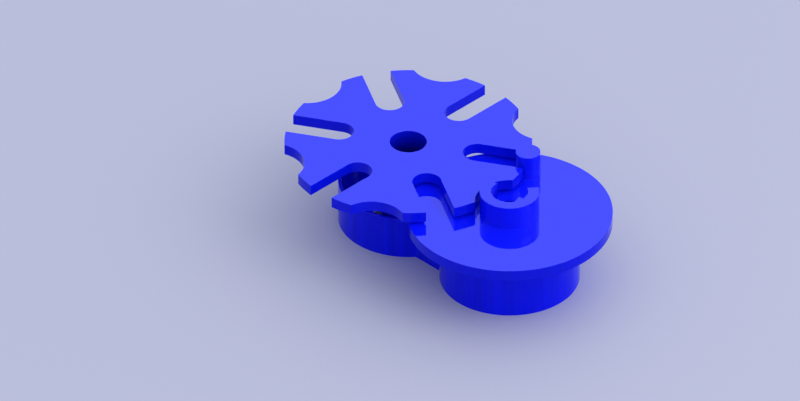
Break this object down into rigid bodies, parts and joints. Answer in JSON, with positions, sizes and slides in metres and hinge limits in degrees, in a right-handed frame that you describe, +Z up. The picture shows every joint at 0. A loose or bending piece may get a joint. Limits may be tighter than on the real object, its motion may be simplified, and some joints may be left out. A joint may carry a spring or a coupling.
{
  "type": "geneva drive",
  "caption": "Geneva drive: slotted star wheel over a drive disc with a pin and a crescent-cut locking hub, on flanged bearing posts in a low open tray frame.",
  "frame": {"origin": "centre of the four threaded inserts, on the frame's underside, midway between the two axes", "axes": "+X from the wheel's axis to the driver's axis, +Z up along both axes, +Y to the side of the drive pin"},
  "size_m": [0.1483, 0.0994, 0.0413],
  "materials": {
    "blue_gloss": "high gloss",
    "blue_enamel": "high gloss enamel",
    "bush_bronze": "turned bronze",
    "bright_steel": "bright zinc",
    "insert_brass": "machined brass"
  },
  "bodies": {
    "root": {"frame_base": "blue_gloss", "mount_inserts": "insert_brass", "wheel_bearing_post": "blue_enamel", "wheel_post_screws": "bright_steel", "wheel_upper_bush": "bush_bronze", "wheel_lower_bush": "bush_bronze", "wheel_thrust_washer": "bush_bronze", "drive_bearing_post": "blue_enamel", "drive_post_screws": "bright_steel", "drive_upper_bush": "bush_bronze", "drive_lower_bush": "bush_bronze", "drive_thrust_washer": "bush_bronze"},
    "driver": {"drive_disc": "blue_gloss", "locking_hub": "blue_enamel", "hub_key": "bright_steel", "lock_washer": "bright_steel", "lock_nut": "bright_steel", "drive_pin": "blue_enamel", "pin_washer": "bright_steel", "pin_nut": "bright_steel", "drive_shim": "bright_steel", "drive_circlip": "bright_steel"},
    "wheel": {"geneva_wheel": "blue_gloss", "wheel_hub": "blue_enamel", "wheel_screws": "bright_steel", "wheel_dowels": "bright_steel", "wheel_shim": "bright_steel", "wheel_circlip": "bright_steel"}
  },
  "joints": [
    {"name": "drive_turn", "type": "hinge", "parent": "root", "child": "driver", "pos_m": [0.02887, 0, 0], "axis": [0, 0, 1], "range_deg": [-240, 0]},
    {"name": "wheel_play", "type": "hinge", "parent": "root", "child": "wheel", "pos_m": [-0.02887, 0, 0], "axis": [0, 0, 1], "range_deg": [-0.9, 0.9]}
  ]
}
